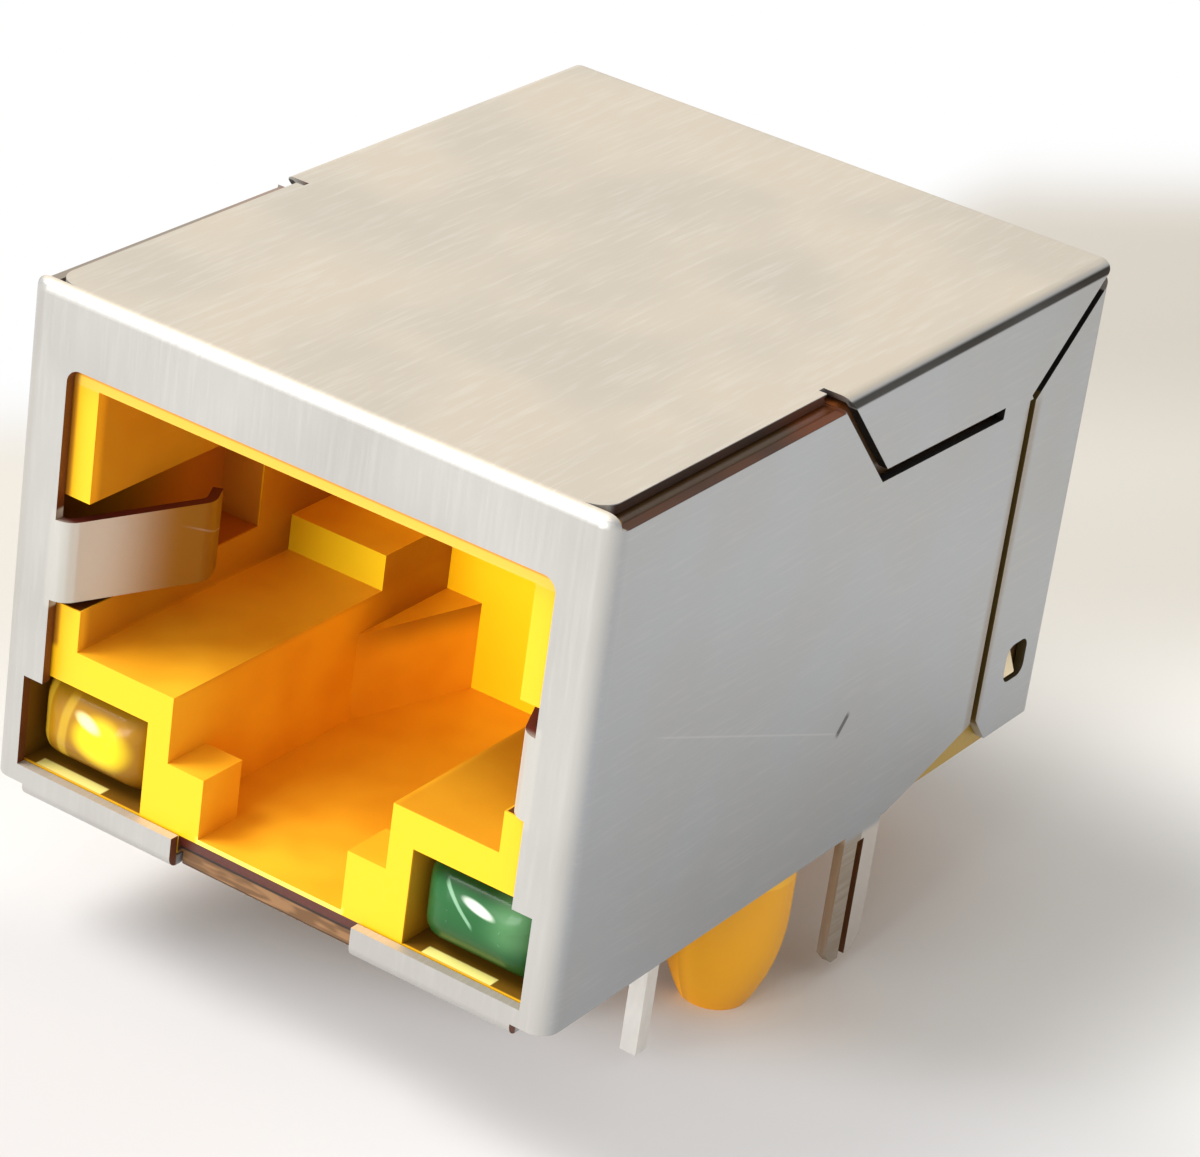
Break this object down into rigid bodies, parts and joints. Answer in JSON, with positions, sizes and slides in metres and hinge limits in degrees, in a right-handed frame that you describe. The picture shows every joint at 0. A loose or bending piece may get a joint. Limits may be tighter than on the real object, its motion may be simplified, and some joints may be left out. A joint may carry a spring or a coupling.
{
  "type": "shielded modular board jack",
  "caption": "Shielded board jack for an eight-way modular plug, with a stepped port, two indicator lamps, locating pegs and solder tails below.",
  "frame": {"origin": "on the board's surface, midway between the two locating pegs", "axes": "+Y from the port's mouth to the back, +Z away from the board, +X to the right of someone who looks into the port"},
  "size_m": [0.016, 0.0213, 0.0168],
  "materials": {
    "shield": "satin nickel plate",
    "housing": "satin",
    "insert": "satin",
    "contacts": "gold flash on bronze",
    "amber_lens": "clear gloss",
    "green_lens": "clear gloss",
    "leads": "tinned"
  },
  "bodies": {
    "root": {"shield_shell": "shield", "housing": "housing", "contact_insert": "insert", "contact_1": "contacts", "contact_2": "contacts", "contact_3": "contacts", "contact_4": "contacts", "contact_5": "contacts", "contact_6": "contacts", "contact_7": "contacts", "contact_8": "contacts", "led_left": "amber_lens", "led_right": "green_lens", "led_lead_left_inner": "leads", "led_lead_left_outer": "leads", "led_lead_right_inner": "leads", "led_lead_right_outer": "leads"}
  },
  "joints": []
}
